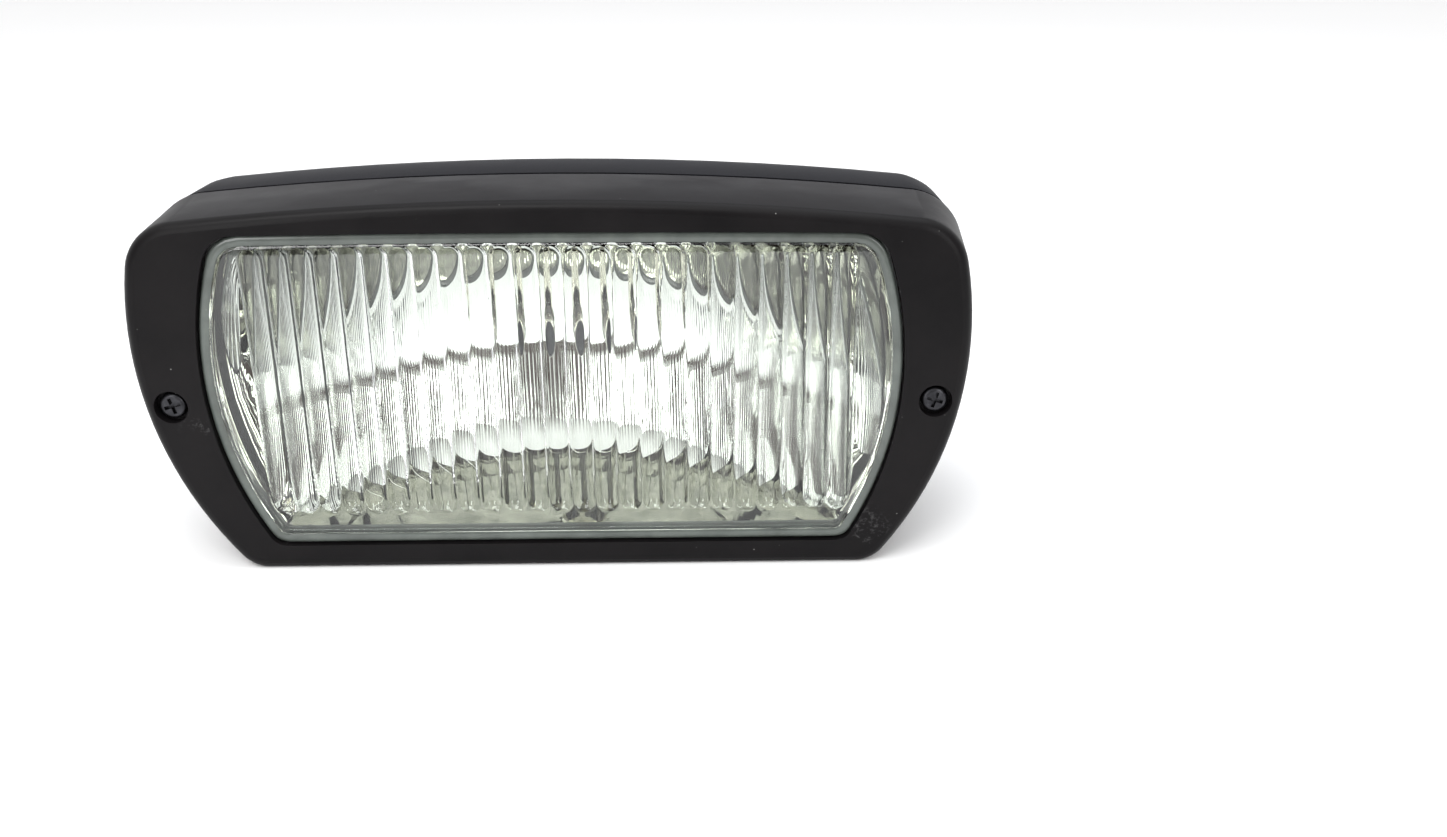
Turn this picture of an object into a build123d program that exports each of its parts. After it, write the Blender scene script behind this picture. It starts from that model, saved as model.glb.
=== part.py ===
from build123d import *
import math
import os

# Rectangular fog lamp with its pivot bracket fitted, millimetres.
# X runs across the lamp, the lens faces -Y and +Z is up. The origin is the middle of the whole
# object's bottom, on the surface that the lamp stands on.

# ---- driving dimensions ----
OVERALL_LENGTH = 168.0  # from the bezel's front to the end of the bracket's tongue
BEZEL_DEPTH = 32.0
FLARE = 4.0  # how much wider each side is at the seam than at the front
LAMP_DEPTH = 78.0
FACE_WALL = 3.2
SIDE_WALL = 2.2
RIM_OVERLAP = 1.6  # how far the lens reaches behind the bezel
BEAD_INSET = 2.8  # how far the sealing bead reaches inside the window
LENS_FLUTES = 25
FLUTE_PITCH = 6.1
LENS_AXIS_Z = 50.0  # height of the bulb and of the reflector's axis
SCREW_X = 97.2  # the two long screws that hold the bezel to the housing
SCREW_Z = 46.2
REFLECTOR_SCREWS = ((96.5, 72.0), (88.5, 21.0))  # X and Z, on both sides
PIVOT_HEIGHT = 11.0
PIVOT_BEHIND_FRONT = 101.5
THREAD_R = 4.0  # M8
THREAD_CORE_R = 3.8  # the stud's shank and its thread inside the nut
RUNNING = 0.1  # radial clearance of a part that turns on a bolt
NUT_ACROSS_FLATS = 13.0
SHEET = 2.0
EAR_SPACING = 34.0  # over the two ears
EAR_TIP_R = 10.5
WEB_RISE = 24.0  # top of the bracket's web above the pivot axis
TONGUE_RISE = 18.0
TONGUE_HALF = 24.0
WEB_BACK = 12.5  # end of the web behind the pivot
STEP_BACK = 19.5
FLARE_END = 27.0
FLANGE_DROP = 8.0
BEND_R = 1.0  # inside radius of the bends
STUD_BEHIND_PIVOT = 38.0
PAD_RISE = 26.0
STUD_RISE = 46.5
WASHER_THICKNESS = 1.8
SPRING_THICKNESS = 2.2
NUT_HEIGHT = 6.5
HOUSING_WALL = 2.6
BUSH_R = 6.0
CLINCH_R = 5.6
GROMMET_R = 6.0
CABLE_BORE_R = 2.6
CABLE_SLEEVE = 7.0
VENT_R = 2.5
CLIP_WIRE_R = 0.6
DISH_DEPTH = 50.0
DISH_FLOOR_RISE = 7.0  # the reflector's lower wall slopes up towards the back
COLLAR = 20.5  # straight part of the housing behind the seam
BULB_R = 4.0
BULB_LENGTH = 19.0  # of glass in front of the seat

# ---- derived places ----
FRONT = -OVERALL_LENGTH / 2
SEAM = FRONT + BEZEL_DEPTH
REAR = FRONT + LAMP_DEPTH
LENS_RIM = FRONT + FACE_WALL  # front of the lens's hidden rim
LENS_BACK = LENS_RIM + 3.0
FLANGE = LENS_BACK + 1.5  # front of the reflector's flange
FLANGE_BACK = FLANGE + 1.2
VERTEX = FLANGE_BACK + DISH_DEPTH
PIVOT_Y = FRONT + PIVOT_BEHIND_FRONT
TONGUE_END = OVERALL_LENGTH / 2
STUD_Y = PIVOT_Y + STUD_BEHIND_PIVOT
EAR_OUT = EAR_SPACING / 2
EAR_IN = EAR_OUT - SHEET
LUG_HALF = EAR_IN - 0.3
BULB_SEAT = VERTEX + 5.0  # where the bulb's flange disc rests
CABLE_X = -42.0  # the cable's grommet; the breather is its mirror image
CABLE_Z = 50.0
WEB_Z = PIVOT_HEIGHT + WEB_RISE
TONGUE_Z = PIVOT_HEIGHT + TONGUE_RISE
PAD_Z = PIVOT_HEIGHT + PAD_RISE
NUT_Z = PAD_Z + WASHER_THICKNESS + SPRING_THICKNESS


# ---- shape helpers ----
def outline(shape, inset=0.0):
    """Face in X and Z: flat base, bulging sides, slightly arched top, all moved in by inset."""
    base, crown = shape["base"] + inset, shape["crown"] - inset
    side_x, side_z = shape["side_centre"]
    side_r, top_r = shape["side_r"] - inset, shape["top_r"] - inset
    half_bottom = side_x + math.sqrt(side_r**2 - (base - side_z) ** 2)
    top_z = crown - top_r
    # The shoulder is where the side's circle meets the top's circle.
    apart = math.hypot(side_x, side_z - top_z)
    along = (top_r**2 - side_r**2 + apart**2) / (2 * apart)
    across = math.sqrt(top_r**2 - along**2)
    step_x, step_z = side_x / apart, (side_z - top_z) / apart
    half_top = step_x * along + step_z * across
    shoulder = top_z + step_z * along - step_x * across
    edges = [
        Line((-half_bottom, base), (half_bottom, base)),
        ThreePointArc((half_bottom, base), (side_x + side_r, side_z), (half_top, shoulder)),
        ThreePointArc((half_top, shoulder), (0, crown), (-half_top, shoulder)),
        ThreePointArc((-half_top, shoulder), (-side_x - side_r, side_z), (-half_bottom, base)),
    ]
    face = make_face(edges)
    corners = face.vertices().sort_by(Axis.Y)
    face = fillet(corners[:2], max(shape["low_r"] - inset, 0.6))
    corners = face.vertices().group_by(Axis.Y)[-1]
    return fillet(corners, max(shape["high_r"] - inset, 0.6))


def slab(face, y_front, y_back):
    """Solid between two depths, with a section drawn in X and Z."""
    return extrude(Plane.XZ.offset(-y_back) * face, y_back - y_front)


def rod_y(x, z, radius, y_front, y_back):
    return slab(Pos(x, z) * Circle(radius), y_front, y_back)


def rod_x(x_low, x_high, y, z, radius):
    return Pos((x_low + x_high) / 2, y, z) * Rot(Y=90) * Cylinder(radius, x_high - x_low)


def rod_z(x, y, radius, z_low, z_high):
    return Pos(x, y, (z_low + z_high) / 2) * Cylinder(radius, z_high - z_low)


def block(x_low, x_high, y_low, y_high, z_low, z_high):
    middle = ((x_low + x_high) / 2, (y_low + y_high) / 2, (z_low + z_high) / 2)
    return Pos(*middle) * Box(x_high - x_low, y_high - y_low, z_high - z_low)


def hexagon(across_flats, height):
    return extrude(RegularPolygon(across_flats / 2, 6, major_radius=False), height)


def wire(points, corner_r, radius):
    """Round wire along straight runs joined by arcs."""
    path = FilletPolyline(*points, radius=corner_r)
    return sweep(Plane(path @ 0, z_dir=path % 0) * Circle(radius), path)


def both_sides(make):
    """The same piece at the left and at the right."""
    return make(-1) + make(1)


BODY = {
    "base": -0.2,
    "crown": 98.3,
    "top_r": 850.0,
    "side_centre": (8.8, 62.4),
    "side_r": 96.7,
    "low_r": 9.0,
    "high_r": 14.0,
}
APERTURE = {
    "base": 6.8,
    "crown": 90.8,
    "top_r": 6000.0,
    "side_centre": (-3.9, 55.0),
    "side_r": 92.7,
    "low_r": 5.0,
    "high_r": 9.0,
}


def body_at(y):
    """The lamp's outer section at a depth: the sides flare from the front to the seam."""
    share = (y - FRONT) / BEZEL_DEPTH
    side_x, side_z = BODY["side_centre"]
    return {
        **BODY,
        "crown": BODY["crown"] + 0.6 * share,
        "top_r": BODY["top_r"] + 110.0 * share,
        "side_centre": (side_x + FLARE * share, side_z),
        "high_r": BODY["high_r"] + 2.0 * share,
    }


def placed_outline(y, inset):
    """Section of the lamp's front at a depth, as a face standing there."""
    return (Plane.XZ.offset(-y) * outline(body_at(y), inset)).face()


# ---- lamp front ----
def bezel():
    edge_r = 2.6
    strips = 5
    sections = []
    for strip in range(strips + 1):
        turn = math.radians(90 * strip / strips)
        y = FRONT + edge_r * (1 - math.cos(turn))
        sections.append(placed_outline(y, edge_r * (1 - math.sin(turn))))
    shell = loft(sections + [placed_outline(SEAM, 0.0)], ruled=True)
    shell -= block(-120, 120, FRONT - 1, SEAM + 1, -5, 0)
    outer = shell
    shell -= loft([placed_outline(LENS_RIM, SIDE_WALL), placed_outline(SEAM, SIDE_WALL)], ruled=True)
    shell -= slab(outline(APERTURE), FRONT, SEAM)
    for side in (-1, 1):
        boss = rod_y(side * SCREW_X, SCREW_Z, 5.0, LENS_RIM, SEAM)
        shell += boss & outer
        shell -= rod_y(side * SCREW_X, SCREW_Z, 4.3, FRONT, FRONT + 3.0)
        shell -= rod_y(side * SCREW_X, SCREW_Z, 2.2, FRONT, SEAM)
        for x, z in REFLECTOR_SCREWS:
            shell += rod_y(side * x, z, 3.2, LENS_RIM, FLANGE)
            shell -= rod_y(side * x, z, 1.5, LENS_RIM, FLANGE)
    return shell


def lens():
    glass = slab(outline(APERTURE, 0.3), FRONT + 0.8, LENS_RIM)
    glass += slab(outline(APERTURE, -RIM_OVERLAP), LENS_RIM, LENS_BACK)
    groove_r = 7.5
    groove_depth = 0.6
    first = -FLUTE_PITCH * (LENS_FLUTES - 1) / 2
    for number in range(LENS_FLUTES):
        x = first + number * FLUTE_PITCH
        glass -= rod_z(x, LENS_BACK + groove_r - groove_depth, groove_r, 11.0, 83.0)
    return glass


def lens_gasket():
    """Sealing bead behind the lens's plain edge."""
    ring = outline(APERTURE, -RIM_OVERLAP) - outline(APERTURE, BEAD_INSET)
    return slab(ring, LENS_BACK, FLANGE)


def bowl(depth_shift):
    """Space in front of the reflector's curve, a paraboloid stretched sideways."""
    focal = 27.0
    stretch = 1.3
    rim_r = 76.0
    rim_depth = rim_r * rim_r / (4 * focal)
    curve = Bezier((0, 0), (rim_r / 2, 0), (rim_r, rim_depth))
    half = make_face([curve, Line((rim_r, rim_depth), (0, rim_depth)), Line((0, rim_depth), (0, 0))])
    space = scale(revolve(half, Axis.Y), by=(stretch, 1, 1))
    return Pos(0, VERTEX + depth_shift, LENS_AXIS_Z) * Rot(X=180) * space


def dish_floor(shift):
    """Wedge under the reflector's lower wall."""
    low = APERTURE["base"] + BEAD_INSET + shift
    corners = [(FLANGE, low), (VERTEX + 2, low + DISH_FLOOR_RISE), (VERTEX + 2, -5), (FLANGE, -5)]
    return extrude(Plane.YZ * make_face(Polyline(*corners, close=True)), 110, both=True)


def reflector():
    """Dish with a flange all round it, straight walls above and beside it and a sloping floor."""
    outer = slab(outline(APERTURE, BEAD_INSET - 1.0), FLANGE, VERTEX + 2) - dish_floor(-1.0)
    inner = slab(outline(APERTURE, BEAD_INSET), FLANGE, VERTEX) - dish_floor(0.0)
    shell = outer & bowl(1.4)
    shell += slab(outline(BODY, SIDE_WALL + 0.4), FLANGE, FLANGE_BACK)
    shell -= inner & bowl(0.0)
    shell -= rod_y(0, LENS_AXIS_Z, 6.0, VERTEX - 3, VERTEX + 3)
    for side in (-1, 1):
        shell -= rod_y(side * SCREW_X, SCREW_Z, 6.3, FLANGE, FLANGE_BACK)
        for x, z in REFLECTOR_SCREWS:
            shell -= rod_y(side * x, z, 1.7, FLANGE, FLANGE_BACK)
    return shell


def reflector_screws():
    screws = Part()
    for side in (-1, 1):
        for x, z in REFLECTOR_SCREWS:
            screws += rod_y(side * x, z, 1.5, LENS_RIM + 0.5, FLANGE_BACK)
            screws += rod_y(side * x, z, 2.8, FLANGE_BACK, FLANGE_BACK + 2.0)
    return screws


def bezel_screws():
    """Pan heads with a cross recess, sunk in the bezel's round pockets."""

    def screw(side):
        x = side * SCREW_X
        head = rod_y(x, SCREW_Z, 3.5, FRONT + 0.9, FRONT + 3.0)
        head = fillet(head.edges().group_by(Axis.Y)[0], 1.2)
        cross = block(-2.1, 2.1, FRONT, FRONT + 2.2, -0.45, 0.45)
        cross += block(-0.45, 0.45, FRONT, FRONT + 2.2, -2.1, 2.1)
        head -= Pos(x, 0, SCREW_Z) * Rot(Y=side * 17) * cross
        return head + rod_y(x, SCREW_Z, 1.9, FRONT + 3.0, SEAM + 11.0)

    return both_sides(screw)


# ---- lamp rear ----
def rear_form(inset, shorter):
    """The rear shell's form: a straight collar, then a back that rounds off as a quarter ellipse."""
    collar_back = SEAM + COLLAR
    depth = REAR - shorter - collar_back
    round_inset = 21.0
    strips = 6
    sections = []
    for strip in range(strips + 1):
        turn = math.radians(90 * strip / strips)
        y = collar_back + depth * math.sin(turn)
        section = outline(body_at(SEAM), inset + round_inset * (1 - math.cos(turn)))
        sections.append((Plane.XZ.offset(-y) * section).face())
    return slab(outline(body_at(SEAM), inset), SEAM, collar_back) + loft(sections, ruled=True)


def teeth():
    """Radial grooves on the lug's two side faces, cut as bars that cross each face."""
    count = 24
    grooves = Part()
    for number in range(count):
        spoke = block(-0.4, 0.4, 6.9, 9.6, -0.45, 0.45)
        spoke = Rot(X=number * 360 / count) * spoke
        for side in (-1, 1):
            grooves += Pos(side * LUG_HALF, PIVOT_Y, PIVOT_HEIGHT) * spoke
    return grooves


def housing():
    inset = 0.1
    outer = rear_form(inset, 0.0) - block(-120, 120, SEAM - 1, REAR, -5, 0)
    lug = rod_x(-LUG_HALF, LUG_HALF, PIVOT_Y, PIVOT_HEIGHT, PIVOT_HEIGHT)
    arm = block(-LUG_HALF, LUG_HALF, REAR - 26, PIVOT_Y, 2.4, 2 * PIVOT_HEIGHT - 2.4)
    shell = outer + lug + arm
    shell -= rear_form(inset + HOUSING_WALL, HOUSING_WALL)
    for side in (-1, 1):
        boss = rod_y(side * SCREW_X, SCREW_Z, 5.6, SEAM, SEAM + 14.0)
        boss += Pos(side * (SCREW_X + 6), SEAM + 7.7, SCREW_Z) * Box(12, 12.6, 6)
        shell += boss & outer
        shell -= rod_y(side * SCREW_X, SCREW_Z, 3.2, SEAM, SEAM + 12.0)
    groove = outline(body_at(SEAM)) - outline(body_at(SEAM), inset + 1.4)
    shell -= slab(groove, SEAM, SEAM + 2.5)
    shell -= rod_x(-LUG_HALF, LUG_HALF, PIVOT_Y, PIVOT_HEIGHT, BUSH_R)
    shell -= rod_y(CABLE_X, CABLE_Z, GROMMET_R, REAR - 5, REAR + 1)
    shell -= rod_y(-CABLE_X, CABLE_Z, VENT_R, REAR - 5, REAR + 1)
    return shell - teeth()


def housing_seal():
    """Foam ring squeezed between the reflector's flange side and the housing's front edge."""
    ring = outline(body_at(SEAM), 3.4) - outline(body_at(SEAM), 5.0)
    cut = both_sides(lambda side: rod_y(side * SCREW_X, SCREW_Z, 6.2, SEAM - 4, SEAM + 2))
    return slab(ring, SEAM - 3.0, SEAM + 1.0) - cut


def screw_inserts():
    """Steel sleeves in the housing that the two long screws cut into."""

    def insert(side):
        sleeve = rod_y(side * SCREW_X, SCREW_Z, 3.2, SEAM, SEAM + 12.0)
        return sleeve - rod_y(side * SCREW_X, SCREW_Z, 1.9, SEAM, SEAM + 12.0)

    return both_sides(insert)


def lug_bush():
    sleeve = rod_x(-LUG_HALF, LUG_HALF, PIVOT_Y, PIVOT_HEIGHT, BUSH_R)
    return sleeve - rod_x(-LUG_HALF, LUG_HALF, PIVOT_Y, PIVOT_HEIGHT, THREAD_R + RUNNING)


def cable_grommet():
    """Rubber bush in the back wall, with a collar on each side of it and a sleeve outside."""
    grommet = rod_y(CABLE_X, CABLE_Z, GROMMET_R, REAR - HOUSING_WALL, REAR)
    grommet += rod_y(CABLE_X, CABLE_Z, GROMMET_R + 2, REAR - HOUSING_WALL - 1.5, REAR - HOUSING_WALL)
    grommet += rod_y(CABLE_X, CABLE_Z, GROMMET_R + 2, REAR, REAR + 1.6)
    grommet += rod_y(CABLE_X, CABLE_Z, 4.2, REAR, REAR + CABLE_SLEEVE)
    return grommet - rod_y(CABLE_X, CABLE_Z, CABLE_BORE_R, REAR - 5, REAR + CABLE_SLEEVE)


def vent_cap():
    """Breather: a stem through the back wall and a hood that is open underneath."""
    cap = rod_y(-CABLE_X, CABLE_Z, VENT_R, REAR - HOUSING_WALL, REAR)
    cap += rod_y(-CABLE_X, CABLE_Z, 5.0, REAR, REAR + 5.0)
    cap -= rod_y(-CABLE_X, CABLE_Z, 1.2, REAR - HOUSING_WALL, REAR + 3.4)
    return cap - block(-CABLE_X - 1.5, -CABLE_X + 1.5, REAR + 1.2, REAR + 3.4, CABLE_Z - 6, CABLE_Z)


# ---- bulb and what holds it ----
def bulb_base():
    """Steel flange disc behind the reflector's neck, with its locating notch and a barrel."""
    disc = rod_y(0, LENS_AXIS_Z, 10.5, BULB_SEAT, BULB_SEAT + 1.2)
    disc -= block(-1.5, 1.5, BULB_SEAT, BULB_SEAT + 1.2, LENS_AXIS_Z + 8.8, LENS_AXIS_Z + 11)
    disc += rod_y(0, LENS_AXIS_Z, 5.0, BULB_SEAT - 3.0, BULB_SEAT + 5.0)
    return disc - rod_y(0, LENS_AXIS_Z, BULB_R, BULB_SEAT - 3.0, BULB_SEAT + 5.0)


def bulb_glass():
    tip = BULB_SEAT - BULB_LENGTH + BULB_R
    glass = rod_y(0, LENS_AXIS_Z, BULB_R, tip, BULB_SEAT - 1.0)
    glass += Pos(0, tip, LENS_AXIS_Z) * Sphere(BULB_R)
    hollow = rod_y(0, LENS_AXIS_Z, BULB_R - 0.8, tip, BULB_SEAT - 4.0)
    hollow += Pos(0, tip, LENS_AXIS_Z) * Sphere(BULB_R - 0.8)
    return glass - hollow


def bulb_filament():
    """The coil as a short bar across the bulb on two posts."""
    y = BULB_SEAT - 13.0
    coil = rod_x(-2.6, 2.6, y, LENS_AXIS_Z, 0.6)
    for side in (-1, 1):
        coil += rod_y(side * 2.3, LENS_AXIS_Z, 0.3, y, BULB_SEAT - 4.0)
    return coil


def bulb_contact():
    """Ceramic plug in the back of the barrel, with the spade that the lead pushes on to."""
    plug = rod_y(0, LENS_AXIS_Z, BULB_R, BULB_SEAT - 1.0, BULB_SEAT + 6.0)
    spade = block(-3.1, 3.1, BULB_SEAT + 6.0, REAR - HOUSING_WALL - 2, -0.4, 0.4)
    return plug + Pos(0, 0, LENS_AXIS_Z) * spade


def bulb_clip():
    """Spring wire that presses the flange disc on to the neck, bent round the barrel."""
    y = BULB_SEAT + 1.2 + CLIP_WIRE_R
    points = [
        (13.3, y, LENS_AXIS_Z + 6.5),
        (-12.0, y, LENS_AXIS_Z + 6.5),
        (-15.0, y, LENS_AXIS_Z),
        (-12.0, y, LENS_AXIS_Z - 6.5),
        (13.3, y, LENS_AXIS_Z - 6.5),
    ]
    return wire(points, 1.8, CLIP_WIRE_R)


def bulb_holder():
    """Neck ring on the back of the dish, with a seat for the flange disc and two clip posts."""
    ring = rod_y(0, LENS_AXIS_Z, 12.5, BULB_SEAT - 2.0, BULB_SEAT)
    ring += rod_y(0, LENS_AXIS_Z, 7.4, VERTEX, BULB_SEAT) - bowl(1.4)
    low, high = LENS_AXIS_Z - 8, LENS_AXIS_Z + 8
    for x in (-17.0, 14.5):
        ring += block(x - 1.2, x + 1.2, BULB_SEAT - 2.0, BULB_SEAT + 3.2, low, high)
    ring += block(-17.0, 14.5, BULB_SEAT - 2.0, BULB_SEAT, low, high)
    return ring - rod_y(0, LENS_AXIS_Z, 6.0, VERTEX, BULB_SEAT)


def bulb_shield():
    """Dark cap over the bulb's tip that stops direct glare, on three arms from the neck ring."""
    front_y = BULB_SEAT - BULB_LENGTH - 1.5
    cap = rod_y(0, LENS_AXIS_Z, 5.8, front_y, front_y + 7.0)
    cap = fillet(cap.edges().group_by(Axis.Y)[0], 2.0)
    cap -= rod_y(0, LENS_AXIS_Z, 5.0, front_y + 1.0, front_y + 7.0)
    for turn in (90, 210, 330):
        arm = block(5.1, 5.9, front_y + 5.0, BULB_SEAT - 1.0, -0.8, 0.8)
        cap += Pos(0, 0, LENS_AXIS_Z) * Rot(Y=turn) * arm
    return cap


# ---- bracket ----
def side_profile(points, half_x=TONGUE_HALF):
    """Profile in Y and Z, measured from the pivot, as a solid across the whole bracket."""
    placed = [(PIVOT_Y + y, PIVOT_HEIGHT + z) for y, z in points]
    return extrude(Plane.YZ * make_face(Polyline(*placed, close=True)), half_x, both=True)


def plan_block(inset):
    """The bracket's outline from above, drawn in by inset, as a tall block."""
    ear_half, tongue_half = EAR_OUT - inset, TONGUE_HALF - inset
    reach = TONGUE_END + inset
    points = [
        (-ear_half, PIVOT_Y - EAR_TIP_R - inset),
        (ear_half, PIVOT_Y - EAR_TIP_R - inset),
        (ear_half, PIVOT_Y + WEB_BACK),
        (tongue_half, PIVOT_Y + FLARE_END),
        (tongue_half, reach),
        (-tongue_half, reach),
        (-tongue_half, PIVOT_Y + FLARE_END),
        (-ear_half, PIVOT_Y + WEB_BACK),
    ]
    return extrude(make_face(Polyline(*points, close=True)), 60)


def long_bends(form):
    """Edges where the flat top turns down into the ears and the side flanges."""
    tops = [face for face in form.faces() if face.normal_at().Z > 0.5 and face.area > 30]
    bends = ShapeList()
    for edge in form.edges():
        middle = edge @ 0.5
        along = edge % 0.5
        on_top = any(face.distance_to(Vertex(*middle)) < 0.001 for face in tops)
        if on_top and abs(along.Y) > 0.3 and abs(middle.X) > 5:
            bends.append(edge)
    return bends


def bracket():
    """Pressed sheet: a channel with two ears, a step down and a wider tongue with side flanges."""
    reach = TONGUE_END - PIVOT_Y
    flange_low = TONGUE_RISE - FLANGE_DROP
    outside = side_profile(
        [
            (-EAR_TIP_R, WEB_RISE),
            (WEB_BACK, WEB_RISE),
            (STEP_BACK, TONGUE_RISE),
            (reach, TONGUE_RISE),
            (reach, TONGUE_RISE - SHEET),
            (reach - 6, flange_low),
            (STEP_BACK + 4, flange_low),
            (EAR_TIP_R + 3, flange_low - 3),
            (EAR_TIP_R, flange_low - 8),
            (EAR_TIP_R, 0),
            (-EAR_TIP_R, 0),
        ]
    )
    outside += rod_x(-TONGUE_HALF, TONGUE_HALF, PIVOT_Y, PIVOT_HEIGHT, EAR_TIP_R)
    outside &= plan_block(0.0)
    outside = fillet(outside.edges().filter_by(Axis.Z).group_by(Axis.Y)[-1], 8.0)
    outside = fillet(long_bends(outside), SHEET + BEND_R)
    inside = side_profile(
        [
            (-EAR_TIP_R - SHEET, WEB_RISE - SHEET),
            (WEB_BACK - 0.8, WEB_RISE - SHEET),
            (STEP_BACK - 0.8, TONGUE_RISE - SHEET),
            (reach + SHEET, TONGUE_RISE - SHEET),
            (reach + SHEET, -EAR_TIP_R - SHEET),
            (-EAR_TIP_R - SHEET, -EAR_TIP_R - SHEET),
        ]
    )
    inside &= plan_block(SHEET)
    sheet = outside - fillet(long_bends(inside), BEND_R)
    sheet -= rod_x(EAR_IN, EAR_OUT, PIVOT_Y, PIVOT_HEIGHT, THREAD_R + RUNNING)
    sheet -= rod_x(-EAR_OUT, -EAR_IN, PIVOT_Y, PIVOT_HEIGHT, CLINCH_R)
    return sheet - rod_z(0, STUD_Y, THREAD_R + RUNNING, TONGUE_Z - SHEET, TONGUE_Z)


def pivot_nut():
    """Star nut clinched into one ear: a toothed flange outside and a barrel in the ear."""
    nut = rod_x(-EAR_OUT, -EAR_IN, PIVOT_Y, PIVOT_HEIGHT, CLINCH_R)
    nut += rod_x(-EAR_OUT - 3.4, -EAR_OUT, PIVOT_Y, PIVOT_HEIGHT, 7.4)
    teeth_count = 12
    for number in range(teeth_count):
        tooth = Rot(X=number * 360 / teeth_count) * Pos(0, 7.3, 0) * Rot(X=45) * Box(3.4, 1.5, 1.5)
        nut += Pos(-EAR_OUT - 1.7, PIVOT_Y, PIVOT_HEIGHT) * tooth
    return nut - rod_x(-EAR_OUT - 4, 0, PIVOT_Y, PIVOT_HEIGHT, THREAD_R + RUNNING)


def pivot_bolt():
    """Hexagon head with its own washer face, and a thread that reaches through the star nut."""
    head_height, washer_face = 5.3, 0.5
    bolt = rod_x(-EAR_OUT - 4.0, EAR_OUT + washer_face, PIVOT_Y, PIVOT_HEIGHT, THREAD_R)
    bolt += rod_x(EAR_OUT + 0.05, EAR_OUT + washer_face, PIVOT_Y, PIVOT_HEIGHT, 6.2)
    head = hexagon(NUT_ACROSS_FLATS, head_height) & crown(NUT_ACROSS_FLATS, head_height, False)
    return bolt + Pos(EAR_OUT + washer_face, PIVOT_Y, PIVOT_HEIGHT) * Rot(Y=90) * Rot(Z=30) * head


def crown(across_flats, height, both_ends):
    """Round bar with chamfered ends that takes the corners off a hexagon."""
    form = Pos(0, 0, height / 2) * Cylinder(across_flats * 0.572, height)
    ends = form.edges().group_by(Axis.Z)
    rims = ends[0] + ends[-1] if both_ends else ends[-1]
    return chamfer(rims, 0.45, 0.9)


def stud():
    """Round-headed bolt that points up through the tongue and the pad."""
    head = rod_z(0, STUD_Y, 8.5, TONGUE_Z - SHEET - 3.6, TONGUE_Z - SHEET)
    head = fillet(head.edges().group_by(Axis.Z)[0], 2.4)
    shank = rod_z(0, STUD_Y, THREAD_CORE_R, TONGUE_Z - SHEET, NUT_Z + NUT_HEIGHT)
    free_thread = rod_z(0, STUD_Y, THREAD_R, NUT_Z + NUT_HEIGHT, PIVOT_HEIGHT + STUD_RISE)
    return head + shank + chamfer(free_thread.edges().group_by(Axis.Z)[-1], 0.8)


def rubber_pad():
    """Block on the tongue with a slightly raised middle and a hollow over the sheet's step."""
    half_x, near, far, edge_drop, corner_r = 17.0, 17.5, 56.5, 1.0, 3.0
    base = block(-half_x, half_x, PIVOT_Y + near, PIVOT_Y + far, TONGUE_Z, PAD_Z - edge_drop)
    base = fillet(base.edges().filter_by(Axis.Z), corner_r)
    low = Plane.XY.offset(PAD_Z - edge_drop) * Pos(0, PIVOT_Y + (near + far) / 2)
    high = Plane.XY.offset(PAD_Z) * Pos(0, STUD_Y)
    foot = low * RectangleRounded(2 * half_x, far - near, corner_r)
    raised = loft([foot.face(), (high * RectangleRounded(22, 22, corner_r)).face()], ruled=True)
    pad = base + raised
    pad -= rod_z(0, STUD_Y, THREAD_R + 0.2, TONGUE_Z, PAD_Z)
    return pad - bracket_step()


def bracket_step():
    return side_profile([(WEB_BACK, WEB_RISE), (STEP_BACK, TONGUE_RISE), (WEB_BACK, TONGUE_RISE)])


def flat_washer():
    disc = rod_z(0, STUD_Y, 10.6, PAD_Z, PAD_Z + WASHER_THICKNESS)
    return disc - rod_z(0, STUD_Y, THREAD_R + 0.2, PAD_Z, PAD_Z + WASHER_THICKNESS)


def spring_washer():
    low = PAD_Z + WASHER_THICKNESS
    ring = rod_z(0, STUD_Y, 7.4, low, low + SPRING_THICKNESS)
    ring -= rod_z(0, STUD_Y, THREAD_R + 0.1, low, low + SPRING_THICKNESS)
    middle = Pos(0, STUD_Y - 6, low + SPRING_THICKNESS / 2)
    return ring - middle * Rot(Y=25) * Box(0.7, 6, 6)


def stud_nut():
    nut = hexagon(NUT_ACROSS_FLATS, NUT_HEIGHT) & crown(NUT_ACROSS_FLATS, NUT_HEIGHT, True)
    nut -= Cylinder(THREAD_CORE_R + RUNNING / 2, 3 * NUT_HEIGHT)
    return Pos(0, STUD_Y, NUT_Z) * Rot(Z=12) * nut


PIECES = (
    bezel,
    lens,
    lens_gasket,
    reflector,
    reflector_screws,
    bezel_screws,
    housing,
    housing_seal,
    screw_inserts,
    lug_bush,
    cable_grommet,
    vent_cap,
    bulb_base,
    bulb_glass,
    bulb_filament,
    bulb_contact,
    bulb_clip,
    bulb_holder,
    bulb_shield,
    bracket,
    pivot_nut,
    pivot_bolt,
    stud,
    rubber_pad,
    flat_washer,
    spring_washer,
    stud_nut,
)

os.makedirs("parts", exist_ok=True)
for make_piece in PIECES:
    export_step(make_piece(), f"parts/{make_piece.__name__}.step")
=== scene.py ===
import math

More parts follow.
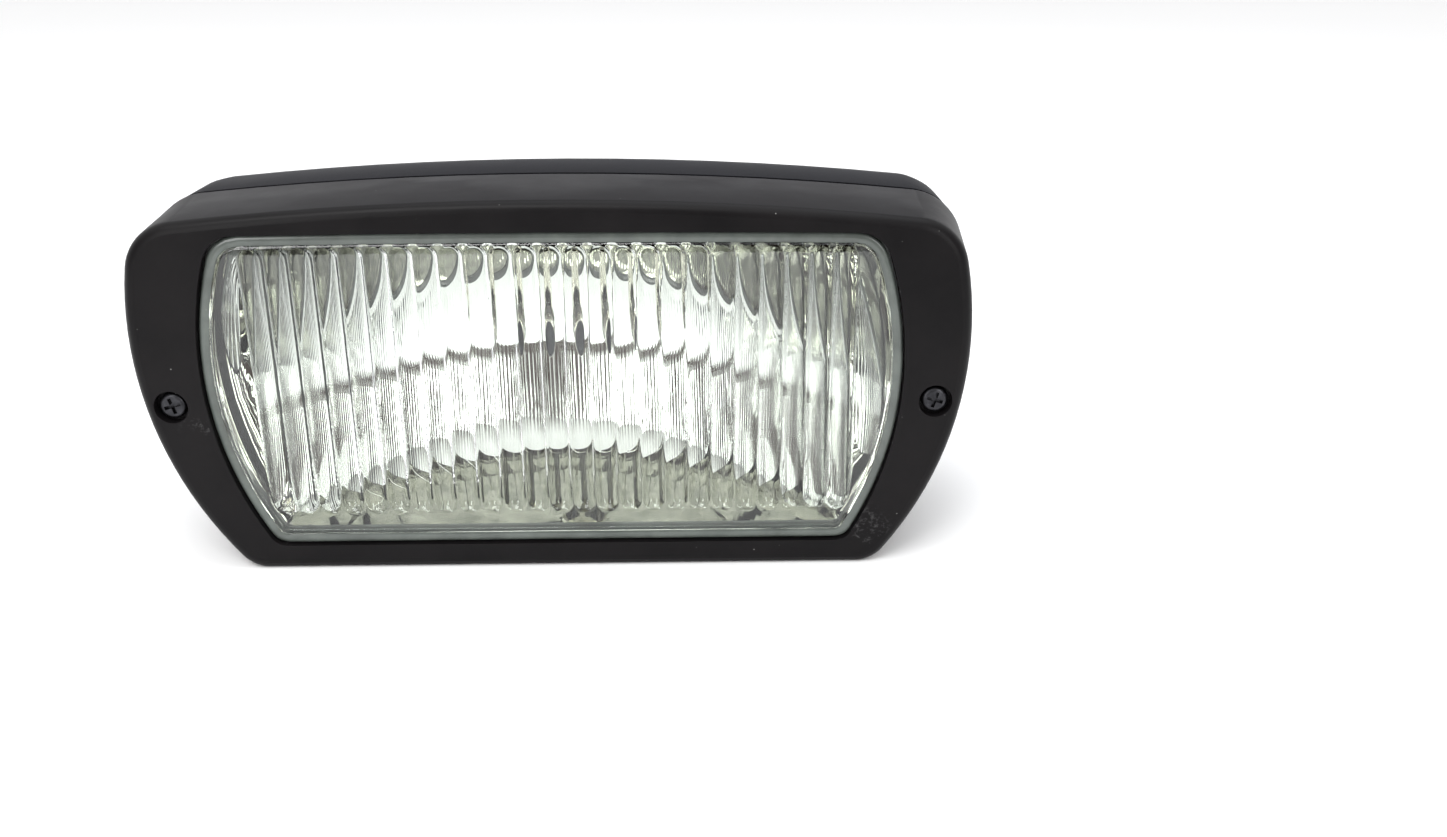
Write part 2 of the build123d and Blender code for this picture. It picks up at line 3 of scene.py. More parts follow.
import bpy
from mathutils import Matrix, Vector


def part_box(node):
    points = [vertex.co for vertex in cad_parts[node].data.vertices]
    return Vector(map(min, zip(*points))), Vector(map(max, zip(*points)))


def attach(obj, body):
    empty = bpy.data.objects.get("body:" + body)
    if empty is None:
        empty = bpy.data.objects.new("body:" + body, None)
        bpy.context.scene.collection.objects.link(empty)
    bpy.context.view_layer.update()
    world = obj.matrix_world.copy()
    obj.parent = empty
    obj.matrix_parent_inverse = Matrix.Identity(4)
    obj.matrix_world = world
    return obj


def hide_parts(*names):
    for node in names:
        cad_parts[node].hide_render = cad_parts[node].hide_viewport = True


# Rectangular fog lamp with its pivot bracket, in metres. X runs across the lamp, the lens faces -Y.
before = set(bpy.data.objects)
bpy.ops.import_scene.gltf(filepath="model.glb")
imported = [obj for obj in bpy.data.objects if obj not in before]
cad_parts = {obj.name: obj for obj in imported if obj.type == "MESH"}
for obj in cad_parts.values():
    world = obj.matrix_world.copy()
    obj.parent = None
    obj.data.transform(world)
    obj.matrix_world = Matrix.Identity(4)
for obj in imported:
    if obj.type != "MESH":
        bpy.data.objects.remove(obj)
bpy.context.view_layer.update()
MM = 0.001

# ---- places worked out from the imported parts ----
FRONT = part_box("bezel")[0].y
LENS_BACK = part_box("lens")[1].y
DISH_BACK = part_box("reflector")[1].y
STUD_LOW, STUD_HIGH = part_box("stud")
NUT_LOW, NUT_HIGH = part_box("stud_nut")
LENS_RIM = FRONT + 3.2 * MM  # front of the flange that holds the glass in the bezel
GLASS_FACE = FRONT + 0.8 * MM  # the glass stands just behind the bezel's front
BAND_FACE = GLASS_FACE + 0.45 * MM  # front of the sealed edge round the glass

# ---- the window in the bezel: a flat base, bulging sides and an almost flat top ----
WINDOW_BASE = 6.8 * MM
WINDOW_CROWN = 90.8 * MM
TOP_R = 6000 * MM
SIDE_R = 92.7 * MM
SIDE_X, SIDE_Z = -3.9 * MM, 55.0 * MM  # centre of each side's arc, mirrored in X
LOW_CORNER_R = 5.0 * MM
HIGH_CORNER_R = 9.0 * MM
LEAST_CORNER_R = 0.6 * MM


def half_width(inset, z):
    """Half width of the window at height z, with its rounded corners, moved in by inset."""
    side_r = SIDE_R - inset
    ends = ((WINDOW_BASE + inset, LOW_CORNER_R, 1), (WINDOW_CROWN - inset, HIGH_CORNER_R, -1))
    for end, corner, inward in ends:
        corner_r = max(corner - inset, LEAST_CORNER_R)
        corner_z = end + inward * corner_r
        reach = side_r - corner_r
        tangent_z = SIDE_Z + (corner_z - SIDE_Z) * side_r / reach
        if (tangent_z - z) * inward > 0:
            corner_x = SIDE_X + math.sqrt(reach**2 - (corner_z - SIDE_Z) ** 2)
            return corner_x + math.sqrt(max(corner_r**2 - (z - corner_z) ** 2, 0.0))
    return SIDE_X + math.sqrt(side_r**2 - (z - SIDE_Z) ** 2)


def window_point(inset, across, up):
    """Place in X and Z at a share of the window's width (-1 to 1) and height (0 to 1)."""
    base = WINDOW_BASE + inset
    crown = WINDOW_CROWN - inset
    z = base + (crown - base) * up
    x = half_width(inset, z) * across
    drop = x * x / (2 * TOP_R)
    return x, z - drop * up


def window_loop(columns, up, inset, y):
    """Closed loop of places round the window's edge, moved in by inset, at one depth."""
    across = [2 * k / columns - 1 for k in range(columns + 1)]
    edge = [(s, 0.0) for s in across]
    edge += [(1.0, t) for t in up[1:]]
    edge += [(s, 1.0) for s in across[-2::-1]]
    edge += [(-1.0, t) for t in up[-2:0:-1]]
    loop = []
    for s, t in edge:
        x, z = window_point(inset, s, t)
        loop.append((x, y, z))
    return loop


# ---- mesh helpers ----
def new_piece(name, verts, faces, material, body, replaced=()):
    """A mesh object that rides on a CAD body and stands for the CAD nodes in replaced."""
    mesh = bpy.data.meshes.new(name)
    mesh.from_pydata(verts, [], faces)
    mesh.validate()
    mesh.shade_smooth()
    piece = bpy.data.objects.new(name, mesh)
    bpy.context.scene.collection.objects.link(piece)
    piece.data.materials.append(material)
    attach(piece, body)
    if replaced:
        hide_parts(*replaced)
    return piece


def add_weld(piece, distance):
    weld = piece.modifiers.new("weld", "WELD")
    weld.merge_threshold = distance


def spread(count, ends):
    """Numbers from 0 to 1 that crowd towards both ends as ends grows from 0 to 1."""
    values = []
    for k in range(count + 1):
        t = k / count
        values.append((1 - ends) * t + ends * (0.5 - 0.5 * math.cos(math.pi * t)))
    return values


def ring_faces(ring_a, ring_b):
    """Quads that join two closed loops of vertex numbers."""
    count = len(ring_a)
    return [(ring_a[k], ring_b[k], ring_b[(k + 1) % count], ring_a[(k + 1) % count]) for k in range(count)]


def grid_faces(start, columns, rows):
    """Quads of a grid whose vertex numbers begin at start and run along its rows."""
    wide = columns + 1
    corners = [start + j * wide + i for j in range(rows) for i in range(columns)]
    return [(a, a + 1, a + wide + 1, a + wide) for a in corners]


def grid_rim(start, columns, rows):
    """Vertex numbers round the edge of such a grid, in the order of window_loop."""
    wide = columns + 1
    bottom = [start + i for i in range(wide)]
    right = [start + j * wide + columns for j in range(1, rows + 1)]
    top = [start + rows * wide + i for i in range(columns - 1, -1, -1)]
    left = [start + j * wide for j in range(rows - 1, 0, -1)]
    return bottom + right + top + left


# ---- lens ----
FLUTES = 25
FLUTE_PITCH = 6.1 * MM
FLUTE_R = 4.4 * MM
FLUTE_RISE = FLUTE_R - math.sqrt(FLUTE_R**2 - (FLUTE_PITCH / 2) ** 2)
FLUTED_HALF = FLUTE_PITCH * FLUTES / 2
FLUTES_ABOVE_BAND = 5.2 * MM
FLUTES_BELOW_BAND = 0.6 * MM
FLUTE_END_SHARE = 1.15  # a flute's rounded end is this much longer than a half round
CREST_CLEARANCE = 0.6 * MM  # from the flutes' crests to the back of the CAD lens
BAND = 3.0 * MM  # plain edge inside the window
FIELD_INSET = BAND + 0.5 * MM
BEAD_REACH = 2.8 * MM  # the sealing bead fills almost all of the plain edge
LOBE_SLOPE = 0.13  # a side lobe's height as a share of its width
LOBE_MOST = 1.3 * MM
LOBE_LEAST_WIDTH = 0.2 * MM


def lobe_height(x, z, edge, bottom, top):
    """Height of the wide lobe between the last flute and the bulging side."""
    width = edge - FLUTED_HALF
    into = abs(x) - FLUTED_HALF
    if width <= LOBE_LEAST_WIDTH or into >= width:
        return 0.0
    sideways = abs(2 * into / width - 1)
    upwards = abs(2 * (z - bottom) / (top - bottom) - 1)
    if upwards >= 1:
        return 0.0
    return min(LOBE_SLOPE * width, LOBE_MOST) * (1 - sideways**2) * (1 - upwards**4)


def flute_height(x, z):
    """How far the ribs stand out of the lens's back at a place."""
    edge = half_width(BAND, z)
    top = WINDOW_CROWN - BAND - x * x / (2 * TOP_R) - FLUTES_BELOW_BAND
    bottom = WINDOW_BASE + BAND + FLUTES_ABOVE_BAND
    if abs(x) > FLUTED_HALF:
        return lobe_height(x, z, edge, bottom, top)
    middle = (math.floor((x + FLUTED_HALF) / FLUTE_PITCH) + 0.5) * FLUTE_PITCH - FLUTED_HALF
    half = FLUTE_PITCH / 2
    end_r = half * FLUTE_END_SHARE
    beyond = max(z - (top - end_r), (bottom + end_r) - z, 0.0) * half / end_r
    beyond = max(beyond, abs(middle) + half - edge)
    reach = (x - middle) ** 2 + beyond**2
    if reach >= half**2:
        return 0.0
    return math.sqrt(FLUTE_R**2 - reach) - math.sqrt(FLUTE_R**2 - half**2)


def make_lens(material):
    """Glass with a smooth front, a small step round its edge and flutes on its back."""
    columns, rows = 560, 64
    across = [2 * k / columns - 1 for k in range(columns + 1)]
    up = spread(rows, 0.75)
    back_y = LENS_BACK - FLUTE_RISE - CREST_CLEARANCE
    field = [window_point(FIELD_INSET, s, t) for t in up for s in across]
    verts = [(x, GLASS_FACE, z) for x, z in field]
    faces = grid_faces(0, columns, rows)
    ring = grid_rim(0, columns, rows)
    side_inset = BEAD_REACH + 0.02 * MM
    edge_profile = [
        (FIELD_INSET - 0.25 * MM, GLASS_FACE + 0.06 * MM),
        (BAND, BAND_FACE - 0.1 * MM),
        (side_inset, BAND_FACE),
        (side_inset, back_y),
    ]
    for inset, y in edge_profile:
        following = [len(verts) + k for k in range(len(ring))]
        verts.extend(window_loop(columns, up, inset, y))
        faces.extend(ring_faces(ring, following))
        ring = following
    back_start = len(verts)
    verts.extend((x, back_y + flute_height(x, z), z) for x, z in field)
    faces.extend(face[::-1] for face in grid_faces(back_start, columns, rows))
    faces.extend(ring_faces(ring, grid_rim(back_start, columns, rows)))
    new_piece("lens_glass", verts, faces, material, "lamp", ["lens"])


# ---- sealing bead ----
def make_bead(material):
    """Grey-green sealant round the glass, from a rounded front down to the reflector's flange."""
    columns, up = 240, spread(48, 0.75)
    inner = BEAD_REACH + 0.15 * MM  # reaches a little into the glass, so that the two look bonded
    outer = 0.3 * MM
    rim_outer = -1.4 * MM
    back_y = LENS_BACK + 1.45 * MM
    rim_y = LENS_RIM + 0.05 * MM
    section = [
        (outer, BAND_FACE + 0.6 * MM),
        (outer + 0.2 * MM, BAND_FACE + 0.2 * MM),
        (outer + 0.7 * MM, BAND_FACE),
        (BEAD_REACH, BAND_FACE),
        (inner, BAND_FACE + 0.15 * MM),
        (inner, back_y),
        (rim_outer, back_y),
        (rim_outer, rim_y),
        (outer, rim_y),
    ]
    verts, faces, rings = [], [], []
    for inset, y in section:
        loop = window_loop(columns, up, inset, y)
        rings.append([len(verts) + k for k in range(len(loop))])
        verts.extend(loop)
    for number, ring in enumerate(rings):
        faces.extend(ring_faces(ring, rings[(number + 1) % len(rings)]))
    piece = new_piece("sealing_bead", verts, faces, material, "lamp", ["lens_gasket"])
    piece.data.set_sharp_from_angle(angle=math.radians(50))


# ---- dish ----
DISH_VERTEX = DISH_BACK - 1.2 * MM
DISH_AXIS_Z = 50.0 * MM
DISH_FOCAL = 27.0 * MM
DISH_STRETCH = 1.3  # the dish is this much wider than a round one
DISH_INSET = 2.9 * MM
FLANGE_Y = LENS_BACK + 1.5 * MM
FLOOR_RISE = 7.0 * MM
NECK_R = 6.2 * MM
SKIN_GAP = 0.08 * MM
RIB_HEIGHT = 0.003 * MM
RIB_PITCH = 1.7 * MM
RIBBED_HALF = 62 * MM  # the dish's fine upright ribs fade out at this distance from its middle


def dish_radius2(x, z):
    """Square of the distance from the dish's axis, with its sideways stretch taken out."""
    return (x / DISH_STRETCH) ** 2 + (z - DISH_AXIS_Z) ** 2


def dish_point(across, up):
    """Place on the mirror's curve, with its fine ribs."""
    x, z = window_point(DISH_INSET, across, up)
    fade = max(0.0, 1 - (x / RIBBED_HALF) ** 2)
    rib = RIB_HEIGHT * fade * math.cos(2 * math.pi * x / RIB_PITCH)
    return x, DISH_VERTEX - dish_radius2(x, z) / (4 * DISH_FOCAL) - SKIN_GAP + rib, z


def on_dish(x, y, z):
    """Whether a place is behind the flange, above the sloping floor and outside the neck."""
    slope = FLOOR_RISE / (DISH_VERTEX + 2 * MM - FLANGE_Y)
    floor_z = WINDOW_BASE + DISH_INSET + slope * (y - FLANGE_Y)
    return y >= FLANGE_Y and z >= floor_z - 0.25 * MM and dish_radius2(x, z) >= NECK_R**2


def make_dish_coat(material):
    """The dish's curved mirror as one smooth skin that lies just in front of the reflector's shell."""
    columns, rows = 420, 200
    points = {}
    for i in range(columns + 1):
        for j in range(rows + 1):
            points[i, j] = dish_point(2 * i / columns - 1, j / rows)
    verts, faces, kept = [], [], {}
    for j in range(rows):
        for i in range(columns):
            corners = [(i, j), (i, j + 1), (i + 1, j + 1), (i + 1, j)]
            if not all(on_dish(*points[corner]) for corner in corners):
                continue
            for corner in corners:
                if corner not in kept:
                    kept[corner] = len(verts)
                    verts.append(points[corner])
            faces.append([kept[corner] for corner in corners])
    new_piece("dish_coat", verts, faces, material, "lamp")


# ---- stud ----
STUD_CENTRE = (STUD_LOW + STUD_HIGH) / 2
HEAD_TOP = STUD_LOW.z + 3.57 * MM
THREAD_LOW = NUT_LOW.z - 0.3 * MM
THREAD_PITCH = 1.25 * MM
THREAD_STEP = 0.09 * MM  # between the rings that make up the thread
CREST_R, ROOT_R, SHANK_R = 4.0 * MM, 3.35 * MM, 3.8 * MM
HEAD_R = 8.5 * MM
HEAD_ROUND = 2.4 * MM  # radius of the round edge under the head
HEAD_CHAMFER = 0.3 * MM
HEAD_INNER_R = 3.0 * MM  # extra ring on the head's flat underside
TIP_TAPER = 0.9 * MM
TIP_R = 2.0 * MM  # extra ring on the stud's flat end


def thread_reach(share, z):
    """Radius of the thread at a share of a turn: flat crests, cut back in the nut and at the tip."""
    phase = ((z - THREAD_LOW) / THREAD_PITCH - share) % 1.0
    # A plain zig-zag made steeper and cut off at both ends, which leaves flats at the crest and the root.
    flank = min(max(abs(2 * phase - 1) * 1.35 - 0.15, 0.0), 1.0)
    tip = CREST_R - TIP_TAPER + (STUD_HIGH.z - z)
    inside_nut = z < NUT_HIGH.z - 0.4 * MM
    return min(ROOT_R + (CREST_R - ROOT_R) * flank, tip, SHANK_R if inside_nut else CREST_R)


def make_stud(material):
    """The mounting stud turned as one surface, with a real thread from the nut upwards."""
    around = 64
    round_steps = 8
    low = STUD_LOW.z
    flat_r = HEAD_R - HEAD_ROUND
    head = [(0.0, low), (HEAD_INNER_R, low), (flat_r, low)]
    for step in range(1, round_steps + 1):
        turn = math.radians(90 * step / round_steps)
        head.append((flat_r + HEAD_ROUND * math.sin(turn), low + HEAD_ROUND * (1 - math.cos(turn))))
    head += [(HEAD_R, HEAD_TOP - HEAD_CHAMFER), (HEAD_R - HEAD_CHAMFER, HEAD_TOP)]
    head += [(SHANK_R, HEAD_TOP), (SHANK_R, THREAD_LOW)]
    steps = int((STUD_HIGH.z - THREAD_LOW) / THREAD_STEP)
    heights = [THREAD_LOW + (STUD_HIGH.z - THREAD_LOW) * (k + 1) / steps for k in range(steps)]
    rings = [([radius] * around, z) for radius, z in head]
    rings += [([thread_reach(k / around, z) for k in range(around)], z) for z in heights]
    rings += [([radius] * around, STUD_HIGH.z) for radius in (TIP_R, 0.0)]
    verts, faces = [], []
    for radii, z in rings:
        for k, radius in enumerate(radii):
            turn = 2 * math.pi * k / around
            x = STUD_CENTRE.x + radius * math.cos(turn)
            verts.append((x, STUD_CENTRE.y + radius * math.sin(turn), z))
    for j in range(len(rings) - 1):
        for k in range(around):
            n = (k + 1) % around
            faces.append((j * around + k, j * around + n, (j + 1) * around + n, (j + 1) * around + k))
    piece = new_piece("stud_turned", verts, faces, material, "stud_set", ["stud"])
    add_weld(piece, 0.001 * MM)


# ---- material nodes ----
PER_METRE = 1000.0  # the noises below are scaled per millimetre
MIX_FACTOR, MIX_FIRST, MIX_SECOND, MIX_RESULT = 0, 6, 7, 2  # the colour sockets of a Mix node


def node_material(name):
    material = bpy.data.materials.new(name)
    material.use_nodes = True
    tree = material.node_tree
    return material, tree, tree.nodes["Principled BSDF"]


def object_millimetres(tree):
    coords = tree.nodes.new("ShaderNodeTexCoord")
    mapping = tree.nodes.new("ShaderNodeMapping")
    mapping.inputs["Scale"].default_value = (PER_METRE, PER_METRE, PER_METRE)
    tree.links.new(coords.outputs["Object"], mapping.inputs["Vector"])
    return mapping.outputs["Vector"]


def surface_facing(tree, axis):
    """How far the surface faces along one of the object's axes, from -1 to 1."""
    coords = tree.nodes.new("ShaderNodeTexCoord")
    split = tree.nodes.new("ShaderNodeSeparateXYZ")
    tree.links.new(coords.outputs["Normal"], split.inputs["Vector"])
    return split.outputs[axis]


def noise(tree, vector, scale, detail=4.0, rough=0.55):
    node = tree.nodes.new("ShaderNodeTexNoise")
    node.inputs["Scale"].default_value = scale
    node.inputs["Detail"].default_value = detail
    node.inputs["Roughness"].default_value = rough
    tree.links.new(vector, node.inputs["Vector"])
    return node.outputs["Fac"]


def ramp(tree, factor, stops):
    node = tree.nodes.new("ShaderNodeValToRGB")
    bar = node.color_ramp
    while len(bar.elements) < len(stops):
        bar.elements.new(0.5)
    for element, (place, colour) in zip(bar.elements, stops):
        element.position = place
        element.color = (*colour, 1.0)
    tree.links.new(factor, node.inputs["Fac"])
    return node.outputs["Color"]


def remap(tree, value, low, high, out_low, out_high):
    node = tree.nodes.new("ShaderNodeMapRange")
    node.inputs["From Min"].default_value = low
    node.inputs["From Max"].default_value = high
    node.inputs["To Min"].default_value = out_low
    node.inputs["To Max"].default_value = out_high
    tree.links.new(value, node.inputs["Value"])
    return node.outputs["Result"]


def bump(tree, shader, height, strength, distance):
    node = tree.nodes.new("ShaderNodeBump")
    node.inputs["Strength"].default_value = strength
    node.inputs["Distance"].default_value = distance
    tree.links.new(height, node.inputs["Height"])
    tree.links.new(node.outputs["Normal"], shader.inputs["Normal"])


def mix_colour(tree, factor, first, second):
    node = tree.nodes.new("ShaderNodeMix")
    node.data_type = "RGBA"
    for socket, value in ((MIX_FIRST, first), (MIX_SECOND, second)):
        if isinstance(value, tuple):
            node.inputs[socket].default_value = (*value, 1.0)
        else:
            tree.links.new(value, node.inputs[socket])
    tree.links.new(factor, node.inputs[MIX_FACTOR])
    return node.outputs[MIX_RESULT]


def times(tree, first, second):
    node = tree.nodes.new("ShaderNodeMath")
    node.operation = "MULTIPLY"
    for socket, value in zip(node.inputs, (first, second)):
        if isinstance(value, float):
            socket.default_value = value
        else:
            tree.links.new(value, socket)
    return node.outputs["Value"]


def specks(tree, vector, cell, size):
    """Small scattered spots: 1 in the middle of a few cells, 0 elsewhere."""
    cells = tree.nodes.new("ShaderNodeTexVoronoi")
    cells.inputs["Scale"].default_value = cell
    tree.links.new(vector, cells.inputs["Vector"])
    spot = remap(tree, cells.outputs["Distance"], size * 0.6, size, 1.0, 0.0)
    split = tree.nodes.new("ShaderNodeSeparateColor")
    tree.links.new(cells.outputs["Color"], split.inputs["Color"])
    chosen = remap(tree, split.outputs["Red"], 0.9, 0.92, 0.0, 1.0)
    return times(tree, spot, chosen)


def worn_edges(tree, vector):
    """Share of rubbed edge at a place: convex corners, broken up by noise."""
    geometry = tree.nodes.new("ShaderNodeNewGeometry")
    edge = remap(tree, geometry.outputs["Pointiness"], 0.56, 0.66, 0.0, 1.0)
    patchy = remap(tree, noise(tree, vector, 0.9, 4.0, 0.7), 0.52, 0.68, 0.0, 1.0)
    return times(tree, edge, patchy)


# ---- materials ----
def moulded_plastic(name, dark, light, rough_low, rough_high, grain):
    """Black plastic with a fine grain, rubbed edges and a little dust."""
    material, tree, shader = node_material(name)
    vector = object_millimetres(tree)
    cloud = noise(tree, vector, 0.05, 5.0)
    colour = ramp(tree, cloud, [(0.35, dark), (0.7, light)])
    colour = mix_colour(tree, times(tree, worn_edges(tree, vector), 0.35), colour, (0.12, 0.12, 0.12))
    dust = times(tree, specks(tree, vector, 0.45, 0.09), remap(tree, cloud, 0.5, 0.6, 0.15, 0.8))
    colour = mix_colour(tree, dust, colour, (0.3, 0.3, 0.29))
    tree.links.new(colour, shader.inputs["Base Color"])
    tree.links.new(remap(tree, cloud, 0.3, 0.7, rough_low, rough_high), shader.inputs["Roughness"])
    bump(tree, shader, noise(tree, vector, 4.0, 3.0), 0.3, grain)
    shader.inputs["IOR"].default_value = 1.45
    shader.inputs["Specular IOR Level"].default_value = 0.15
    return material


def clear_glass(name, tint):
    """Glass with faint smears and a slightly wavy surface."""
    material, tree, shader = node_material(name)
    vector = object_millimetres(tree)
    smear = noise(tree, vector, 0.05, 3.0)
    colour = ramp(tree, smear, [(0.3, tint), (0.75, tuple(min(c * 1.02, 1.0) for c in tint))])
    tree.links.new(colour, shader.inputs["Base Color"])
    tree.links.new(remap(tree, smear, 0.4, 0.8, 0.0, 0.02), shader.inputs["Roughness"])
    bump(tree, shader, noise(tree, vector, 0.12, 1.0), 0.05, 0.1 * MM)
    shader.inputs["Transmission Weight"].default_value = 1.0
    shader.inputs["IOR"].default_value = 1.5
    return material


def metal(name, stops, cloud_scale, rough_low, rough_high, banded=False):
    """Bare or plated metal; banded stretches the clouds of colour over the whole ramp."""
    material, tree, shader = node_material(name)
    vector = object_millimetres(tree)
    streaks = noise(tree, vector, 2.0, 3.0)
    cloud = noise(tree, vector, cloud_scale, 2.0 if banded else 4.0, 0.4)
    if banded:
        cloud = remap(tree, cloud, 0.32, 0.68, 0.0, 1.0)
    tree.links.new(ramp(tree, cloud, stops), shader.inputs["Base Color"])
    tree.links.new(remap(tree, streaks, 0.3, 0.7, rough_low, rough_high), shader.inputs["Roughness"])
    shader.inputs["Metallic"].default_value = 1.0
    bump(tree, shader, streaks, 0.3, 0.02 * MM)
    return material


def mirror(name):
    """Aluminised coat: bright on the dish, darker and greyer on the floor below it, where the surface faces
    up.
    """
    material, tree, shader = node_material(name)
    vector = object_millimetres(tree)
    cloud = noise(tree, vector, 0.08, 4.0)
    bright = ramp(tree, cloud, [(0.3, (0.83, 0.83, 0.79)), (0.7, (0.89, 0.89, 0.86))])
    # Faces that look upwards, the floor below the dish, take a darker and greyer colour than the dish.
    floor_grey_cloud = noise(tree, vector, 0.25, 3.0)
    floor_grey = ramp(tree, floor_grey_cloud, [(0.35, (0.24, 0.245, 0.205)), (0.7, (0.42, 0.42, 0.36))])
    on_floor = remap(tree, surface_facing(tree, "Z"), 0.93, 0.97, 0.0, 1.0)
    tree.links.new(mix_colour(tree, on_floor, bright, floor_grey), shader.inputs["Base Color"])
    tree.links.new(remap(tree, cloud, 0.35, 0.7, 0.0, 0.012), shader.inputs["Roughness"])
    shader.inputs["Metallic"].default_value = 1.0
    bump(tree, shader, noise(tree, vector, 0.08, 1.0), 0.12, 0.1 * MM)
    return material


def front_painted(name):
    """Bright metal with heat-proof black paint on the side that faces the lens."""
    material, tree, shader = node_material(name)
    vector = object_millimetres(tree)
    cloud = noise(tree, vector, 0.4, 4.0)
    bare = remap(tree, surface_facing(tree, "Y"), -0.75, -0.6, 0.0, 1.0)
    black = ramp(tree, cloud, [(0.35, (0.012, 0.012, 0.02)), (0.7, (0.03, 0.03, 0.042))])
    bright = ramp(tree, cloud, [(0.35, (0.68, 0.66, 0.56)), (0.7, (0.85, 0.83, 0.75))])
    tree.links.new(mix_colour(tree, bare, black, bright), shader.inputs["Base Color"])
    tree.links.new(remap(tree, bare, 0.0, 1.0, 0.5, 0.2), shader.inputs["Roughness"])
    tree.links.new(bare, shader.inputs["Metallic"])
    bump(tree, shader, noise(tree, vector, 3.0, 2.0), 0.2, 0.03 * MM)
    return material


def rubber(name, shade, coarse=3.0, coat=0.0):
    """Rubber, foam, sealant or ceramic: matt, cloudy and a little dusty, with an optional gloss."""
    material, tree, shader = node_material(name)
    vector = object_millimetres(tree)
    cloud = noise(tree, vector, 0.15, 4.0)
    pale = tuple(c * 1.7 for c in shade)
    colour = ramp(tree, cloud, [(0.35, shade), (0.75, pale)])
    dusty = tuple(min(c * 4 + 0.05, 0.8) for c in shade)
    colour = mix_colour(tree, times(tree, specks(tree, vector, 0.6, 0.1), 0.6), colour, dusty)
    tree.links.new(colour, shader.inputs["Base Color"])
    tree.links.new(remap(tree, cloud, 0.3, 0.7, 0.5, 0.7), shader.inputs["Roughness"])
    bump(tree, shader, noise(tree, vector, coarse, 3.0), 0.35, 0.05 * MM)
    shader.inputs["Specular IOR Level"].default_value = 0.35
    shader.inputs["Coat Weight"].default_value = coat
    shader.inputs["Coat Roughness"].default_value = 0.12
    return material


BEZEL_BLACK = ((0.0045, 0.004, 0.0045), (0.0075, 0.0065, 0.007))
SHELL_BLACK = ((0.006, 0.006, 0.008), (0.011, 0.011, 0.014))
ZINC_COLOURS = [
    (0.0, (0.62, 0.62, 0.66)),
    (0.18, (0.72, 0.75, 0.52)),
    (0.36, (0.86, 0.85, 0.62)),
    (0.5, (0.56, 0.74, 0.6)),
    (0.62, (0.5, 0.68, 0.74)),
    (0.76, (0.72, 0.6, 0.74)),
    (0.88, (0.82, 0.66, 0.62)),
    (1.0, (0.84, 0.82, 0.6)),
]
GREEN_ZINC_COLOURS = [
    (0.0, (0.52, 0.55, 0.5)),
    (0.4, (0.62, 0.7, 0.58)),
    (0.7, (0.7, 0.72, 0.6)),
    (1.0, (0.66, 0.58, 0.62)),
]
STEEL_COLOURS = [(0.3, (0.36, 0.34, 0.31)), (0.7, (0.52, 0.5, 0.47))]
STUD_COLOURS = [(0.3, (0.36, 0.32, 0.27)), (0.7, (0.55, 0.52, 0.47))]
SCREW_COLOURS = [(0.3, (0.03, 0.03, 0.033)), (0.7, (0.06, 0.06, 0.066))]

PLASTIC = moulded_plastic("bezel_plastic", *BEZEL_BLACK, 0.34, 0.44, 0.03 * MM)
SHELL = moulded_plastic("shell_plastic", *SHELL_BLACK, 0.42, 0.52, 0.06 * MM)
GLASS = clear_glass("fluted_glass", (0.95, 0.985, 0.965))
BULB = clear_glass("bulb_glass_clear", (0.98, 0.98, 0.98))
MIRROR = mirror("mirror_coat")
STEEL = metal("plain_steel", STEEL_COLOURS, 0.3, 0.25, 0.42)
ZINC = metal("passivated_zinc", ZINC_COLOURS, 0.035, 0.2, 0.34, banded=True)
GREEN_ZINC = metal("passivated_zinc_green", GREEN_ZINC_COLOURS, 0.12, 0.22, 0.36, banded=True)
DARK_SCREW = metal("dark_screw", SCREW_COLOURS, 0.5, 0.3, 0.45)
STUD_STEEL = metal("stud_steel", STUD_COLOURS, 0.25, 0.28, 0.42)
RUBBER = rubber("black_rubber_mat", (0.013, 0.013, 0.014))
FOAM = rubber("foam_mat", (0.02, 0.02, 0.02), 1.4)
SEALANT = rubber("sealant_mat", (0.07, 0.081, 0.073), 0.6, coat=0.8)
CERAMIC = rubber("ceramic_mat", (0.45, 0.44, 0.41))
SHIELD = front_painted("shield_mat")

# ---- CAD nodes that keep their shapes: their materials and the width of their softened edges ----
NODE_MATERIALS = {
    "bezel": PLASTIC,
    "housing": SHELL,
    "reflector": MIRROR,
    "reflector_screws": STEEL,
    "bezel_screws": DARK_SCREW,
    "housing_seal": FOAM,
    "screw_inserts": STEEL,
    "lug_bush": STEEL,
    "cable_grommet": RUBBER,
    "vent_cap": RUBBER,
    "bulb_base": STEEL,
    "bulb_glass": BULB,
    "bulb_filament": STEEL,
    "bulb_contact": CERAMIC,
    "bulb_clip": STEEL,
    "bulb_holder": STEEL,
    "bulb_shield": SHIELD,
    "bracket": ZINC,
    "pivot_nut": GREEN_ZINC,
    "pivot_bolt": GREEN_ZINC,
    "rubber_pad": RUBBER,
    "flat_washer": GREEN_ZINC,
    "spring_washer": STEEL,
    "stud_nut": GREEN_ZINC,
}
BEVEL_WIDTHS = {
    "bezel": 0.25 * MM,
    "housing": 0.3 * MM,
    "bracket": 0.22 * MM,
    "rubber_pad": 0.8 * MM,
    "flat_washer": 0.25 * MM,
    "spring_washer": 0.25 * MM,
    "stud_nut": 0.18 * MM,
    "pivot_bolt": 0.18 * MM,
    "pivot_nut": 0.18 * MM,
    "cable_grommet": 0.4 * MM,
    "vent_cap": 0.5 * MM,
    "bezel_screws": 0.1 * MM,
}


def finish_node(node, material):
    """Give a CAD node its material, weld its seams and round its sharp edges."""
    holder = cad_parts[node]
    for used in holder.material_slots:
        used.material = material
    add_weld(holder, 0.01 * MM)
    if node in BEVEL_WIDTHS:
        bevel = holder.modifiers.new("soft_edges", "BEVEL")
        bevel.width = BEVEL_WIDTHS[node]
        bevel.segments = 2
        bevel.limit_method = "ANGLE"
        bevel.angle_limit = math.radians(35)


